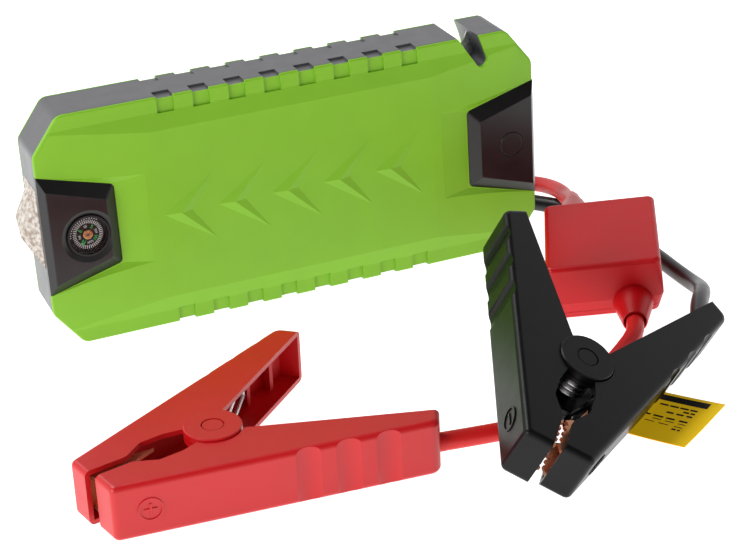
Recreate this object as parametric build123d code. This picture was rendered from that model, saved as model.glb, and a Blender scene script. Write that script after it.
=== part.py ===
"""Jump starter pack with its lead set: a slim battery pack in a two-tone casing that carries a
compass, a glass breaker and a belt cutter, and a loose lead with an inline box, two battery clamps
and a plug. Millimetres, +Z up. The pack stands on its long edge with its front face towards -Y, and
the origin is the middle of that edge on the table."""
from build123d import *
import math
import os

# ---- casing -------------------------------------------------------------------------------------
PACK_LENGTH = 185.0
PACK_HEIGHT = 84.5
RIM_Y = 11.2                # half the casing's depth, from mid-plane to a cover's flat rim
CUT_X = 9.8                 # corner cut along the length
CUT_Z = 13.0                # corner cut along the height
CORNER_RADIUS = 4.0
COVER_EDGE = 1.2            # thickness of a cover's rim, seen from the side
LIP_DEPTH = 1.4             # locating lip of a cover inside the mid frame
BAND_WALL = 2.4
FIT_GAP = 0.15
ROOF_HEIGHT = 1.8           # how far the covers' centre field stands above their rim
ROOF_FOOT_Z = 5.3           # foot of the field's sloped strip, from the long edge
ROOF_TOP_Z = 11.2
ROOF_TOP_X = 52.0
MID_Z = PACK_HEIGHT / 2
HALF_LENGTH = PACK_LENGTH / 2
BAND_Y = RIM_Y - COVER_EDGE

# ---- grip pockets along both long edges ---------------------------------------------------------
POCKET_COUNT = 8
POCKET_PITCH = 12.86
POCKET_WIDTH = 6.1
POCKET_HEIGHT = 5.7
POCKET_DEPTH = 0.8
BAND_POCKET_RUN = 4.8       # length of a pocket in the band, across the casing

# ---- chevrons -----------------------------------------------------------------------------------
CHEVRON_COUNT = 5
CHEVRON_PITCH = 19.6
CHEVRON_FIRST_X = -50.0
CHEVRON_RIDGE = 6.0         # from the tip to the highest point
CHEVRON_BACK = 10.2         # from the tip to the inner corner
CHEVRON_REACH = 19.0        # from the tip to the arms' ends
CHEVRON_ARM = 13.0          # half the height over both arms
CHEVRON_HEIGHT = 1.0
CHEVRON_ROOT = 0.02          # how far the marks' feet are sunk into the field

# ---- end plates, compass and button -------------------------------------------------------------
PLATE_OUT_HALF = 21.9       # half height at the casing's end
PLATE_IN_HALF = 14.4        # half height at the inner edge
PLATE_IN_X = 66.2
PLATE_FACE_OUT_HALF = 17.3
PLATE_FACE_IN_HALF = 10.7
PLATE_FACE_IN_X = 69.8
PLATE_FACE_OUT_X = 90.4
PLATE_RISE = 3.2            # face of the plate above the cover's rim
PLATE_WALL = 2.2
PLATE_GAP = 0.2
RAMP_END_X = 55.2
RAMP_HALF = 16.4
COMPASS_X = -77.3
COMPASS_Z = 40.9            # the compass sits a little below the middle
COMPASS_RADIUS = 7.5
DISH_RADIUS = 9.6
DISH_DEPTH = 0.9
PLATE_EDGE_ROUND = 0.5
PLATE_CORNER_ROUND = 1.7
CAP_RADIUS = 1.8
BUTTON_X = 81.9
BUTTON_RADIUS = 4.5
BUTTON_GAP = 0.15
BUTTON_TRAVEL = 0.8
FACE_Y = -(RIM_Y + PLATE_RISE)

# ---- belt cutter slot, in the upper right corner ------------------------------------------------
SLOT_END = (72.5, 75.3)
SLOT_END_RADIUS = 2.4
SLOT_EDGE = [(63.2, 85.8), (70.46, 74.03), (74.8, 76.1), (71.5, 85.8)]

# ---- lead set -----------------------------------------------------------------------------------
CABLE_D = 6.0
CABLE_R = CABLE_D / 2
CABLE_FIT = 0.15
BOX_W = 39.4
BOX_D = 47.0
BOX_H = 21.2
BOX_PLACE = (94.6, -62.9, 3.4)          # middle of its underside, tilted on its front left corner
BOX_HEADING = -26.05
BOX_ROLL = 4.88
BOX_PITCH = -5.0
BOX_WALL = 1.8
BOX_CORNER = 2.6
BOX_SPLIT = 2.8             # height of the base shell
BOX_TAPER_TOP = 7.0         # below this the sides slope inwards
BOX_TAPER = 2.2
BOX_LOW_WALL = 3.3          # cavity wall over the sloped part
FRONT_GLAND_X = 9.0         # across the box, from its middle
BACK_GLAND_X = -9.5
GLAND_Z = 5.2
BACK_GLAND_Z = 13.4
GLAND_LENGTH = 12.5
BACK_GLAND_LENGTH = 11.0

# ---- clamps, in their own frame: pivot at the origin, handles towards +X, jaws towards -X -------
ARM_HALF = 9.3              # half width of both arms
EAR_HALF = 7.4              # half width over the fixed arm's ears, which nest inside the moving arm
ARM_WALL = 1.6
ARM_ROUND = 1.9
END_ROUND = 3.8
DISC_RADIUS = 9.0
DISC_STEP = 0.8
PIN_RADIUS = 2.5
PIN_HEAD_RADIUS = 3.2
HEAD_POCKET = 3.6
JAW_GAP = 1.8
ARM_OPENING = 38.0          # degrees that the jaws open
SCALLOP_RADIUS = 6.6
SCALLOP_DEPTH = 1.0
WIRE_R = 0.9
COIL_R = 4.7
COIL_TURNS = 4
COIL_PITCH = 2.1
TOOTH_PITCH = 2.6
TOOTH_DEPTH = 1.4
TOOTH_GAP = 0.25
JAW_PLATE = 1.2
JAW_SEAT = 6.8

RED_PIVOT = (-71.3, -124.35, 10.9)
RED_HEADING = 13.6
RED_ROLL = 2.0
BLACK_PIVOT = (37.84, -148.78, 20.25)
BLACK_HEADING = 57.18
BLACK_ROLL = 29.34          # the clamp leans on its fixed arm
BLACK_PITCH = -11.12        # and its handles are propped up

PLUG_CENTRE = (68.0, 31.0, 5.0)
PLUG_SIZE = (27.0, 18.0, 9.6)
PLUG_CABLE_PITCH = 9.0

# ---- inside the casing --------------------------------------------------------------------------
CELL_COUNT = 3
CELL_SIZE = (112.0, 4.6, 58.0)
CELL_GAP = 0.3
CELL_X = -19.5
BOARD_X = (44.0, 84.0)
BOARD_Z = (9.0, 66.0)
BOARD_Y = -7.6
BOARD_T = 1.6
PANEL_Z = (14.5, 60.0)
PANEL_HALF = 7.0
TORCH_Z = 66.0
TORCH_RADIUS = 3.9

parts = {}


# ---- helpers ------------------------------------------------------------------------------------
def xz_face(points):
    """Flat face in the XZ plane from (x, z) points."""
    return Face(Wire.make_polygon([Vector(x, 0, z) for x, z in points], close=True))


def xz_prism(points, y_low, y_high):
    """Prism of an (x, z) outline between two depths."""
    face = xz_face(points).moved(Location((0, y_low, 0)))
    return Solid.extrude(face, Vector(0, y_high - y_low, 0))


def xz_loft(points_a, y_a, points_b, y_b):
    """Solid with straight sides between two (x, z) outlines at two depths."""
    wires = []
    for points, y in ((points_a, y_a), (points_b, y_b)):
        wires.append(Wire.make_polygon([Vector(x, y, z) for x, z in points], close=True))
    return Solid.make_loft(wires, ruled=True)


def box_between(low, high):
    size = [high[i] - low[i] for i in range(3)]
    centre = [(high[i] + low[i]) / 2 for i in range(3)]
    return Pos(*centre) * Box(*size)


def rod(start, end, radius):
    """Cylinder between two points."""
    start, end = Vector(*start), Vector(*end)
    return Solid.make_cylinder(radius, (end - start).length, Plane(origin=start, z_dir=end - start))


def y_disc(x, z, radius, y_low, y_high):
    return rod((x, y_low, z), (x, y_high, z), radius)


def polyhedron(points, faces):
    sides = [Face(Wire.make_polygon([Vector(*points[i]) for i in face], close=True)) for face in faces]
    return Solid(Shell(sides))


def octagon(inset=0.0):
    """Casing outline: a rectangle with its corners cut."""
    end, cut_end = HALF_LENGTH - inset, HALF_LENGTH - CUT_X - 0.45 * inset
    low, cut_low = inset, CUT_Z + 0.45 * inset
    high, cut_high = PACK_HEIGHT - inset, PACK_HEIGHT - CUT_Z - 0.45 * inset
    return [(-cut_end, low), (cut_end, low), (end, cut_low), (end, cut_high),
            (cut_end, high), (-cut_end, high), (-end, cut_high), (-end, cut_low)]


def casing_prism(y_low, y_high, inset=0.0):
    """Octagonal prism with rounded corners."""
    body = xz_prism(octagon(inset), y_low, y_high)
    radius = max(CORNER_RADIUS - inset, 1.0)
    return fillet(body.edges().filter_by(Axis.Y), radius)


def mirrored_y(shape):
    return mirror(shape, about=Plane.XZ)


def pocket_centres():
    first = -(POCKET_COUNT - 1) / 2 * POCKET_PITCH
    return [first + i * POCKET_PITCH for i in range(POCKET_COUNT)]


def tilted_location(origin, heading, roll=0.0, pitch=0.0):
    """Place for a loose piece: heading about Z, then roll about its X, then pitch about its Y."""
    turn = Location((0, 0, 0), (0, 0, heading)) * Location((0, 0, 0), (roll, 0, 0))
    return Location(origin) * turn * Location((0, 0, 0), (0, pitch, 0))


def save(name, shape):
    parts[name] = shape


# ---- covers -------------------------------------------------------------------------------------
def slot_cutter():
    reach = RIM_Y + 10
    throat = xz_prism(SLOT_EDGE, -reach, reach)
    return throat + y_disc(SLOT_END[0], SLOT_END[1], SLOT_END_RADIUS, -reach, reach)


def roof():
    """Centre field of a cover: steep strips along the long edges, long gentle slopes to the ends."""
    foot_x = HALF_LENGTH - 1.0
    foot = [(-foot_x, ROOF_FOOT_Z), (foot_x, ROOF_FOOT_Z),
            (foot_x, PACK_HEIGHT - ROOF_FOOT_Z), (-foot_x, PACK_HEIGHT - ROOF_FOOT_Z)]
    top = [(-ROOF_TOP_X, ROOF_TOP_Z), (ROOF_TOP_X, ROOF_TOP_Z),
           (ROOF_TOP_X, PACK_HEIGHT - ROOF_TOP_Z), (-ROOF_TOP_X, PACK_HEIGHT - ROOF_TOP_Z)]
    field = xz_loft(foot, -RIM_Y, top, -RIM_Y - ROOF_HEIGHT)
    return field & casing_prism(-RIM_Y - ROOF_HEIGHT, -RIM_Y, inset=0.9)


def cover_blank():
    """Cover without its details, on the front side."""
    rim = casing_prism(-RIM_Y, -BAND_Y)
    rim = fillet(rim.edges().group_by(Axis.Y)[0], 0.7)
    lip = casing_prism(-BAND_Y, -BAND_Y + LIP_DEPTH, inset=BAND_WALL + FIT_GAP)
    lip -= casing_prism(-BAND_Y, -BAND_Y + LIP_DEPTH, inset=BAND_WALL + FIT_GAP + 1.4)
    return rim + roof() + lip


def edge_pockets():
    """Pockets that cut a cover's rim along both long edges."""
    cuts = []
    for x in pocket_centres():
        for low, high in ((-1.0, POCKET_HEIGHT), (PACK_HEIGHT - POCKET_HEIGHT, PACK_HEIGHT + 1.0)):
            cut = box_between((x - POCKET_WIDTH / 2, -RIM_Y - 1, low),
                              (x + POCKET_WIDTH / 2, -RIM_Y + POCKET_DEPTH, high))
            cuts.append(cut)
        for low, high in ((-1.0, POCKET_DEPTH), (PACK_HEIGHT - POCKET_DEPTH, PACK_HEIGHT + 1.0)):
            cut = box_between((x - POCKET_WIDTH / 2, -RIM_Y - 1, low),
                              (x + POCKET_WIDTH / 2, -BAND_Y + 0.01, high))
            cuts.append(cut)
    return cuts


def chevron(tip_x):
    """Raised arrow mark: two tapered arms that meet in a peak."""
    floor_y = -RIM_Y - ROOF_HEIGHT + CHEVRON_ROOT
    peak_y = -RIM_Y - ROOF_HEIGHT - CHEVRON_HEIGHT
    points = [(tip_x, floor_y, MID_Z), (tip_x + CHEVRON_BACK, floor_y, MID_Z),
              (tip_x + CHEVRON_RIDGE, peak_y, MID_Z),
              (tip_x + CHEVRON_REACH, floor_y, MID_Z + CHEVRON_ARM),
              (tip_x + CHEVRON_REACH, floor_y, MID_Z - CHEVRON_ARM)]
    upper = polyhedron([points[i] for i in (0, 1, 2, 3)], [(0, 1, 2), (0, 2, 3), (1, 3, 2), (0, 3, 1)])
    lower = polyhedron([points[i] for i in (0, 1, 2, 4)], [(0, 2, 1), (0, 3, 2), (1, 2, 3), (0, 1, 3)])
    return upper + lower


def plate_outline(grow=0.0):
    """Right end plate as (x, z) points."""
    out_x = HALF_LENGTH + grow
    in_x = PLATE_IN_X - grow
    out_half = PLATE_OUT_HALF + grow
    in_half = PLATE_IN_HALF + grow
    return [(in_x, MID_Z - in_half), (out_x, MID_Z - out_half),
            (out_x, MID_Z + out_half), (in_x, MID_Z + in_half)]


def ramp_cutter():
    """Hollow around the right end plate, with a ramp up to the field on its inner side."""
    outer = HALF_LENGTH + 1
    edge = PLATE_OUT_HALF + 0.6
    floor = [(PLATE_IN_X - 0.6, MID_Z - PLATE_IN_HALF - 0.6), (outer, MID_Z - edge),
             (outer, MID_Z + edge), (PLATE_IN_X - 0.6, MID_Z + PLATE_IN_HALF + 0.6)]
    brim = [(RAMP_END_X, MID_Z - RAMP_HALF), (outer, MID_Z - edge - 0.4),
            (outer, MID_Z + edge + 0.4), (RAMP_END_X, MID_Z + RAMP_HALF)]
    brim_y = -RIM_Y - ROOF_HEIGHT * 0.92
    hollow = xz_loft(floor, -RIM_Y, brim, brim_y)
    return hollow + xz_prism(brim, brim_y - 1.0, brim_y)


def front_cover():
    cover = cover_blank()
    hollow = ramp_cutter()
    cover -= hollow
    cover -= mirror(hollow, about=Plane.YZ)
    through = xz_prism(plate_outline(PLATE_GAP), -RIM_Y - 5, -BAND_Y + 5)
    through = fillet(through.edges().filter_by(Axis.Y).sort_by(Axis.X)[:2], PLATE_CORNER_ROUND + PLATE_GAP)
    cover -= through
    cover -= mirror(through, about=Plane.YZ)
    flange_room = xz_prism(plate_outline(2.4), -BAND_Y, -BAND_Y + 5)
    cover -= flange_room
    cover -= mirror(flange_room, about=Plane.YZ)
    for cut in edge_pockets():
        cover -= cut
    for i in range(CHEVRON_COUNT):
        cover += chevron(CHEVRON_FIRST_X + i * CHEVRON_PITCH)
    return cover - slot_cutter() - slot_room(-BAND_Y, -BAND_Y + LIP_DEPTH)


def slot_room(y_low, y_high):
    """Space that the slot's block takes inside the casing."""
    return xz_prism([(58.6, 69.6), (79.6, 69.6), (79.6, 86), (58.6, 86)], y_low, y_high)


SCREW_SPOTS = [(-80.0, 12.0), (-80.0, PACK_HEIGHT - 12.0), (0.0, 7.0), (0.0, PACK_HEIGHT - 7.0),
               (80.0, 12.0), (82.0, PACK_HEIGHT - 15.5)]
SCREW_RADIUS = 1.25
SCREW_HEAD = 2.3
BOSS_RADIUS = 3.2


def back_cover():
    cover = mirrored_y(cover_blank())
    for cut in edge_pockets():
        cover -= mirrored_y(cut)
    for x, z in SCREW_SPOTS:
        cover -= y_disc(x, z, SCREW_HEAD + 0.2, RIM_Y - 0.1, RIM_Y + 5)
        cover -= y_disc(x, z, SCREW_RADIUS + 0.1, 0, RIM_Y + 1)
        cover -= y_disc(x, z, BOSS_RADIUS + 0.2, 0, BAND_Y)
    return cover - slot_cutter() - slot_room(BAND_Y - LIP_DEPTH, BAND_Y)


# ---- mid frame ----------------------------------------------------------------------------------
HAMMER_BASE_Z = (29.5, 58.5)
HAMMER_BASE_Y = 8.4


def mid_frame():
    ring = casing_prism(-BAND_Y, BAND_Y)
    edges = ring.edges().group_by(Axis.Y)
    ring = chamfer(edges[0] + edges[-1], 0.35)
    ring -= casing_prism(-BAND_Y, BAND_Y, inset=BAND_WALL)
    block = slot_room(-BAND_Y, BAND_Y) & casing_prism(-BAND_Y, BAND_Y, inset=0.5)
    ring += block
    for x, z in SCREW_SPOTS:
        ring += y_disc(x, z, BOSS_RADIUS, -2.0, BAND_Y) & casing_prism(-BAND_Y, BAND_Y, inset=0.5)
        ring += boss_rib(x, z)
        ring -= y_disc(x, z, SCREW_RADIUS + 0.05, 0.0, BAND_Y + 1)
    for x in pocket_centres():
        for low, high in ((-1.0, POCKET_DEPTH), (PACK_HEIGHT - POCKET_DEPTH, PACK_HEIGHT + 1.0)):
            for y_low, y_high in ((-BAND_Y - 1, -BAND_Y + BAND_POCKET_RUN),
                                  (BAND_Y - BAND_POCKET_RUN, BAND_Y + 1)):
                ring -= box_between((x - POCKET_WIDTH / 2, y_low, low), (x + POCKET_WIDTH / 2, y_high, high))
    ring -= slot_cutter()
    ring -= box_between((-HALF_LENGTH - 1, -HAMMER_BASE_Y, HAMMER_BASE_Z[0]),
                        (-HALF_LENGTH + BAND_WALL + 1, HAMMER_BASE_Y, HAMMER_BASE_Z[1]))
    ring -= box_between((HALF_LENGTH - BAND_WALL - 1, -PANEL_HALF, PANEL_Z[0]),
                        (HALF_LENGTH + 1, PANEL_HALF, PANEL_Z[1]))
    ring -= box_between((HALF_LENGTH - 0.9, -PANEL_HALF - 1.4, PANEL_Z[0] - 1.4),
                        (HALF_LENGTH + 1, BAND_Y + 1, PANEL_Z[1] + 1.4))
    ring -= rod((HALF_LENGTH - 8, 0, TORCH_Z), (HALF_LENGTH + 1, 0, TORCH_Z), TORCH_RADIUS + 0.1)
    return ring - blade_blank(0.05)


def boss_rib(x, z):
    """Web that ties a screw boss to the nearest wall."""
    wall_z = 1.0 if z < MID_Z else PACK_HEIGHT - 1.0
    low, high = sorted((z, wall_z))
    rib = box_between((x - 1.0, 0.0, low), (x + 1.0, BAND_Y - LIP_DEPTH - 0.1, high))
    return rib & casing_prism(-BAND_Y, BAND_Y, inset=0.5)


def cover_screws():
    screws = []
    for x, z in SCREW_SPOTS:
        shank = y_disc(x, z, SCREW_RADIUS, 0.6, RIM_Y - 0.1)
        head = y_disc(x, z, SCREW_HEAD, RIM_Y - 0.1, RIM_Y + 1.1)
        socket = box_between((x - 0.35, RIM_Y + 0.4, z - 1.5), (x + 0.35, RIM_Y + 2, z + 1.5))
        cross = box_between((x - 1.5, RIM_Y + 0.4, z - 0.35), (x + 1.5, RIM_Y + 2, z + 0.35))
        screws.append(shank + head - socket - cross)
    return Compound(screws)


# ---- end plates ---------------------------------------------------------------------------------
def plate_blank():
    """Right end plate: a bevelled cap with a flange under the cover."""
    face = [(PLATE_FACE_IN_X, MID_Z - PLATE_FACE_IN_HALF), (PLATE_FACE_OUT_X, MID_Z - PLATE_FACE_OUT_HALF),
            (PLATE_FACE_OUT_X, MID_Z + PLATE_FACE_OUT_HALF), (PLATE_FACE_IN_X, MID_Z + PLATE_FACE_IN_HALF)]
    foot = xz_prism(plate_outline(), -RIM_Y, -BAND_Y)
    foot = fillet(foot.edges().filter_by(Axis.Y).sort_by(Axis.X)[:2], PLATE_CORNER_ROUND)
    cap = xz_loft(plate_outline(), -RIM_Y, face, FACE_Y)
    slanted = [edge for edge in cap.edges() if edge.bounding_box().size.Y > 1.0]
    cap = fillet(ShapeList(slanted).sort_by(Axis.X)[:2], PLATE_CORNER_ROUND)
    cap = fillet(cap.edges().group_by(Axis.Y)[0], PLATE_EDGE_ROUND)
    plate = foot + cap
    flange = xz_prism(plate_outline(1.8), -BAND_Y, -BAND_Y + 1.2)
    flange &= casing_prism(-BAND_Y, -BAND_Y + 1.2, inset=BAND_WALL + FIT_GAP)
    inner = [(PLATE_FACE_IN_X + 1.5, MID_Z - PLATE_FACE_IN_HALF + 1.2),
             (PLATE_FACE_OUT_X - 1.5, MID_Z - PLATE_FACE_OUT_HALF + 0.8),
             (PLATE_FACE_OUT_X - 1.5, MID_Z + PLATE_FACE_OUT_HALF - 0.8),
             (PLATE_FACE_IN_X + 1.5, MID_Z + PLATE_FACE_IN_HALF - 1.2)]
    return plate + flange - xz_prism(inner, FACE_Y + PLATE_WALL, -BAND_Y + 2)


def compass_plate():
    plate = mirror(plate_blank(), about=Plane.YZ)
    plane = Plane(origin=(COMPASS_X, FACE_Y - 0.01, COMPASS_Z), z_dir=(0, 1, 0))
    dish = Solid.make_cone(DISH_RADIUS, COMPASS_RADIUS + 0.15, DISH_DEPTH, plane)
    hole = y_disc(COMPASS_X, COMPASS_Z, COMPASS_RADIUS + 0.1, FACE_Y - 1, -BAND_Y + 3)
    return plate - dish - hole


def button_plate():
    plate = plate_blank()
    return plate - y_disc(BUTTON_X, MID_Z, BUTTON_RADIUS + BUTTON_GAP, FACE_Y - 1, -BAND_Y)


def power_button():
    wall_back = FACE_Y + PLATE_WALL
    cap = y_disc(BUTTON_X, MID_Z, BUTTON_RADIUS, FACE_Y - 0.1, wall_back + 0.3)
    cap = fillet(cap.edges().group_by(Axis.Y)[0], 0.35)
    flange_back = SWITCH_TOP_Y - BUTTON_TRAVEL - 0.1
    return cap + y_disc(BUTTON_X, MID_Z, BUTTON_RADIUS + 1.0, wall_back + 0.1, flange_back)


SWITCH_TOP_Y = -10.4


def button_switch():
    body = box_between((BUTTON_X - 3, BOARD_Y - 1.8, MID_Z - 3), (BUTTON_X + 3, BOARD_Y, MID_Z + 3))
    return body + y_disc(BUTTON_X, MID_Z, 1.7, SWITCH_TOP_Y, BOARD_Y - 1.8)


# ---- compass ------------------------------------------------------------------------------------
CASE_FLOOR_Y = -9.0
DIAL_Y = -12.2
DIAL_RADIUS = 6.4
GLASS_Y = -13.4


def compass_case():
    top_y = FACE_Y + 0.3
    cup = y_disc(COMPASS_X, COMPASS_Z, COMPASS_RADIUS, top_y, CASE_FLOOR_Y)
    cup -= y_disc(COMPASS_X, COMPASS_Z, COMPASS_RADIUS - 0.7, top_y - 1, CASE_FLOOR_Y - 0.8)
    step = y_disc(COMPASS_X, COMPASS_Z, COMPASS_RADIUS - 0.7, GLASS_Y, GLASS_Y + 0.4)
    step -= y_disc(COMPASS_X, COMPASS_Z, DIAL_RADIUS - 0.4, GLASS_Y - 1, GLASS_Y + 1)
    return cup + step


def compass_pivot():
    return y_disc(COMPASS_X, COMPASS_Z, 0.35, DIAL_Y + 0.35, CASE_FLOOR_Y - 0.8)


def compass_dial():
    return y_disc(COMPASS_X, COMPASS_Z, DIAL_RADIUS, DIAL_Y, DIAL_Y + 0.3)


def compass_cap():
    cap = y_disc(COMPASS_X, COMPASS_Z, CAP_RADIUS, DIAL_Y - 0.6, DIAL_Y)
    return fillet(cap.edges().group_by(Axis.Y)[0], 0.3)


def compass_glass():
    disc = y_disc(COMPASS_X, COMPASS_Z, COMPASS_RADIUS - 0.75, GLASS_Y - 0.9, GLASS_Y)
    return fillet(disc.edges().group_by(Axis.Y)[0], 0.6)


# ---- tools on the casing ------------------------------------------------------------------------
def glass_breaker():
    """Faceted hard metal head, with a base plate let into the mid frame."""
    x = -HALF_LENGTH - 0.1
    points = [(x, -HAMMER_BASE_Y, 29.6), (x, -HAMMER_BASE_Y, 54.0), (x, 0.0, 58.4),
              (x, HAMMER_BASE_Y, 54.0), (x, HAMMER_BASE_Y, 29.6), (x - 5.6, -1.5, 40.0), (x - 5.6, 3.5, 46.5)]
    faces = [(4, 3, 2, 1, 0), (0, 1, 5), (1, 2, 6), (1, 6, 5), (2, 3, 6), (3, 4, 6), (4, 0, 5), (4, 5, 6)]
    head = polyhedron(points, faces)
    gap = 0.1
    base = box_between((-HALF_LENGTH - 0.1, -HAMMER_BASE_Y + gap, HAMMER_BASE_Z[0] + gap),
                       (-HALF_LENGTH + BAND_WALL + 0.6, HAMMER_BASE_Y - gap, HAMMER_BASE_Z[1] - gap))
    return base + head


def blade_blank(grow=0.0):
    """Thin plate across the slot, in the middle of the casing's depth."""
    outline = [(68.0, 71.9), (78.2, 71.9), (78.2, 83.4), (73.0, 83.4)]
    if grow:
        outline = [(67.9, 71.8), (78.3, 71.8), (78.3, 83.5), (72.9, 83.5)]
    return xz_prism(outline, 1.0 - grow, 1.7 + grow)


def cutter_blade():
    """Belt cutter: the slanted edge stands in the slot's throat."""
    edge = xz_prism([(66.0, 71.0), (68.0, 71.9), (73.0, 83.4), (72.0, 84.4), (66.0, 80.0)], 1.0, 1.2)
    return blade_blank() - edge


# ---- ports on the right end ---------------------------------------------------------------------
JUMP_Z = (16.0, 37.5)
USB_Z = (40.0, 53.4)
DC_Z = 56.8


def port_panel():
    low, high = PANEL_Z
    panel = box_between((HALF_LENGTH - BAND_WALL - 0.8, -PANEL_HALF + 0.1, low + 0.1),
                        (HALF_LENGTH - 0.9, PANEL_HALF - 0.1, high - 0.1))
    panel -= box_between((80, -5.0, JUMP_Z[0] + 0.5), (100, 5.0, JUMP_Z[1] - 0.5))
    for y in (-3.3, 3.3):
        panel -= box_between((80, y - 2.6, USB_Z[0] + 0.2), (100, y + 2.6, USB_Z[1] - 0.2))
    return panel - rod((80, 0, DC_Z), (100, 0, DC_Z), 2.0)


def jump_socket():
    """Two-pole socket for the clamp lead's plug."""
    body = box_between((HALF_LENGTH - 16.0, -4.9, JUMP_Z[0] + 0.6), (HALF_LENGTH - 1.1, 4.9, JUMP_Z[1] - 0.6))
    for z in jump_pole_heights():
        body -= rod((HALF_LENGTH - 13.0, 0, z), (HALF_LENGTH, 0, z), 3.6)
    return body


def jump_pole_heights():
    middle = sum(JUMP_Z) / 2
    return [middle - 5.2, middle + 5.2]


def socket_contacts():
    sleeves = []
    for z in jump_pole_heights():
        sleeve = rod((HALF_LENGTH - 13.0, 0, z), (HALF_LENGTH - 3.0, 0, z), 3.3)
        sleeve -= rod((HALF_LENGTH - 12.0, 0, z), (HALF_LENGTH, 0, z), 2.6)
        sleeves.append(sleeve)
    return Compound(sleeves)


def usb_sockets():
    shells = []
    for y in (-3.3, 3.3):
        shell = box_between((HALF_LENGTH - 14, y - 2.5, USB_Z[0] + 0.3), (HALF_LENGTH - 1.2, y + 2.5, USB_Z[1] - 0.3))
        shell -= box_between((HALF_LENGTH - 13.4, y - 2.15, USB_Z[0] + 0.65), (HALF_LENGTH, y + 2.15, USB_Z[1] - 0.65))
        tongue = box_between((HALF_LENGTH - 13.4, y - 0.1, USB_Z[0] + 1.2), (HALF_LENGTH - 3.0, y + 1.5, USB_Z[1] - 1.2))
        shells.append(shell + tongue)
    return Compound(shells)


def dc_socket():
    body = rod((HALF_LENGTH - 12, 0, DC_Z), (HALF_LENGTH - 1.2, 0, DC_Z), 1.95)
    body -= rod((HALF_LENGTH - 9, 0, DC_Z), (HALF_LENGTH, 0, DC_Z), 1.5)
    return body + rod((HALF_LENGTH - 9.5, 0, DC_Z), (HALF_LENGTH - 3, 0, DC_Z), 0.5)


COVER_HINGE = (HALF_LENGTH + 0.7, PANEL_HALF + 1.3)


def port_cover():
    """Rubber flap over the sockets, hinged along its rear edge."""
    low, high = PANEL_Z[0] - 1.2, PANEL_Z[1] + 1.2
    flap = box_between((HALF_LENGTH - 0.8, -PANEL_HALF - 1.2, low), (COVER_HINGE[0], COVER_HINGE[1], high))
    flap = fillet(flap.edges().filter_by(Axis.X), 1.0)
    flap = fillet(flap.faces().sort_by(Axis.X)[-1].edges().filter_by(Axis.Z).sort_by(Axis.Y)[0], 0.5)
    grip = box_between((COVER_HINGE[0] - 0.1, -PANEL_HALF - 0.2, MID_Z - 9.0), (COVER_HINGE[0] + 0.5, -PANEL_HALF + 0.8, MID_Z - 1.0))
    return flap + grip


def torch_parts():
    end = HALF_LENGTH
    reflector = rod((end - 7.5, 0, TORCH_Z), (end - 1.2, 0, TORCH_Z), TORCH_RADIUS)
    bowl = Solid.make_cone(1.6, TORCH_RADIUS - 0.5, 5.6, Plane(origin=(end - 6.8, 0, TORCH_Z), z_dir=(1, 0, 0)))
    reflector -= bowl
    led = box_between((end - 6.8, -0.9, TORCH_Z - 0.9), (end - 6.1, 0.9, TORCH_Z + 0.9))
    lens = rod((end - 1.2, 0, TORCH_Z), (end + 0.1, 0, TORCH_Z), TORCH_RADIUS)
    lens = fillet(lens.edges().sort_by(Axis.X)[-1], 0.4)
    return reflector, led, lens


# ---- electronics --------------------------------------------------------------------------------
def battery_cells():
    depth = CELL_COUNT * CELL_SIZE[1] + (CELL_COUNT - 1) * CELL_GAP
    cells = []
    for i in range(CELL_COUNT):
        y = -depth / 2 + CELL_SIZE[1] / 2 + i * (CELL_SIZE[1] + CELL_GAP)
        cell = Pos(CELL_X, y, MID_Z) * Box(*CELL_SIZE)
        cells.append(fillet(cell.edges().filter_by(Axis.X), 1.2))
    return Compound(cells)


def circuit_board():
    return box_between((BOARD_X[0], BOARD_Y, BOARD_Z[0]), (BOARD_X[1], BOARD_Y + BOARD_T, BOARD_Z[1]))


def board_components():
    """Main relay and capacitors on the rear of the board."""
    back = BOARD_Y + BOARD_T
    relay = box_between((50, back, 18), (66, back + 9.0, 32))
    coil = box_between((50, back, 36), (60, back + 7.5, 46))
    cans = [y_disc(56, z, 3.2, back, back + 9.5) for z in (53.0, 61.0)]
    return Compound([relay, coil] + cans)


def power_straps():
    """Copper straps from the cells to the jump socket."""
    end_x = HALF_LENGTH - 16.1
    low = box_between((CELL_X + CELL_SIZE[0] / 2, 3.6, 17.0), (end_x, 4.4, 23.0))
    high = box_between((CELL_X + CELL_SIZE[0] / 2, 3.6, 28.0), (end_x, 4.4, 34.0))
    return Compound([low, high])


# ---- inline box ---------------------------------------------------------------------------------
def box_location():
    return tilted_location(BOX_PLACE, BOX_HEADING, BOX_ROLL, BOX_PITCH)


def rounded_box(half_w, half_d, z_low, z_high, radius):
    body = box_between((-half_w, -half_d, z_low), (half_w, half_d, z_high))
    return fillet(body.edges().filter_by(Axis.Z), radius)


def taper_section(z):
    """Outline of the box's sloped part at a height above its underside."""
    inset = BOX_TAPER * (1 - z / BOX_TAPER_TOP)
    return Pos(0, 0, z) * RectangleRounded(BOX_W - 2 * inset, BOX_D - 2 * inset, BOX_CORNER)


def tapered_part(z_low, z_high):
    return loft([taper_section(z_low), taper_section(z_high)], ruled=True)


def box_outer():
    """Outside of the whole box."""
    body = rounded_box(BOX_W / 2, BOX_D / 2, BOX_TAPER_TOP, BOX_H, BOX_CORNER)
    body = fillet(body.edges().group_by(Axis.Z)[-1], 1.6)
    return body + tapered_part(0.0, BOX_TAPER_TOP)


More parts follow.
